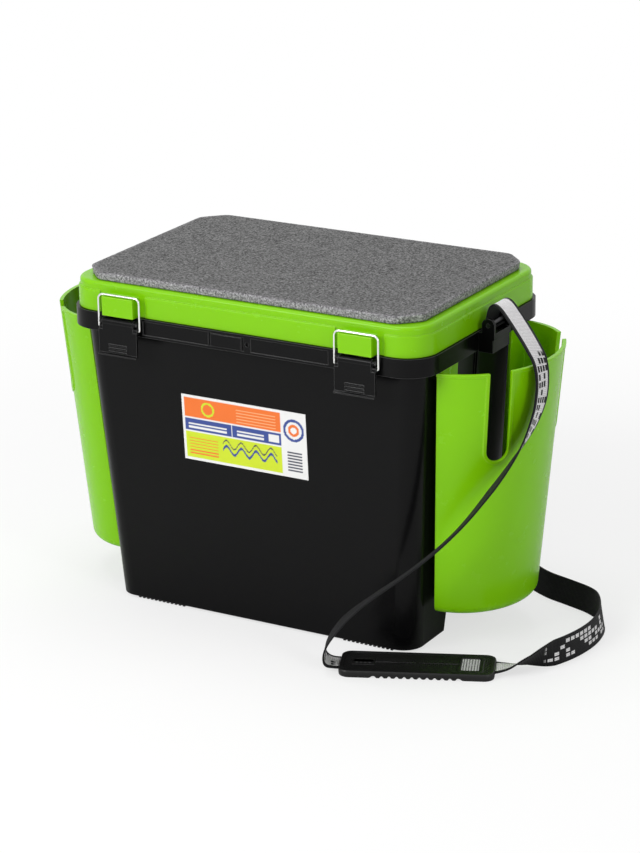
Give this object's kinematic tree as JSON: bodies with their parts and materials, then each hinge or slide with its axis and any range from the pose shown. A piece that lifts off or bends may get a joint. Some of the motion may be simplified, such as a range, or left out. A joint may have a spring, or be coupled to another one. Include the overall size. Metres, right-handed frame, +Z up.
{
  "type": "fishing seat box",
  "caption": "Tapered tackle box with a padded hinged lid to sit on, wire latches, hook-on side pockets and a shoulder strap",
  "frame": {"origin": "on the floor, under the middle of the box without its strap", "axes": "+X along the box to its right end, +Y to the hinges at the back, +Z up"},
  "size_m": [0.569, 0.348, 0.3362],
  "materials": {
    "black_plastic": "semi-gloss moulded",
    "lime_plastic": "satin moulded",
    "grey_foam": "closed-cell foam, speckled",
    "steel_wire": "drawn wire",
    "webbing": "woven, with a pale printed band",
    "black_rubber": "matt",
    "printed_label": "printed film"
  },
  "bodies": {
    "box": {"tub": "black_plastic", "front_label": "printed_label", "pocket_left": "lime_plastic", "pocket_right": "lime_plastic", "strap_bracket_left": "black_plastic", "strap_bracket_right": "black_plastic", "strap_bar_left": "steel_wire", "strap_bar_right": "steel_wire", "latch_pin_left": "steel_wire", "latch_pin_right": "steel_wire", "hinge_pin_left": "steel_wire", "hinge_pin_right": "steel_wire", "strap_webbing_front": "webbing", "strap_webbing_rear": "webbing", "shoulder_pad": "black_rubber"},
    "lid": {"lid": "lime_plastic", "seat_pad": "grey_foam"},
    "lever_left": {"latch_lever_left": "black_plastic"},
    "lever_right": {"latch_lever_right": "black_plastic"},
    "bail_left": {"latch_bail_left": "steel_wire"},
    "bail_right": {"latch_bail_right": "steel_wire"}
  },
  "joints": [
    {"name": "lid_hinge", "type": "hinge", "parent": "box", "child": "lid", "pos_m": [0, 0.133, 0.2994], "axis": [-1, 0, 0], "range_deg": [0, 105]},
    {"name": "lever_left_pivot", "type": "hinge", "parent": "box", "child": "lever_left", "pos_m": [-0.127, -0.1312, 0.294], "axis": [-1, 0, 0], "range_deg": [0, 110]},
    {"name": "bail_left_pivot", "type": "hinge", "parent": "lever_left", "child": "bail_left", "pos_m": [-0.127, -0.1305, 0.288], "axis": [-1, 0, 0], "range_deg": [-141, 0]},
    {"name": "lever_right_pivot", "type": "hinge", "parent": "box", "child": "lever_right", "pos_m": [0.127, -0.1312, 0.294], "axis": [-1, 0, 0], "range_deg": [0, 110]},
    {"name": "bail_right_pivot", "type": "hinge", "parent": "lever_right", "child": "bail_right", "pos_m": [0.127, -0.1305, 0.288], "axis": [-1, 0, 0], "range_deg": [-141, 0]}
  ],
  "couplings": [
    {"joint": "bail_left_pivot", "follows": "lever_left_pivot", "ratio": -1.28},
    {"joint": "bail_right_pivot", "follows": "lever_right_pivot", "ratio": -1.28}
  ]
}
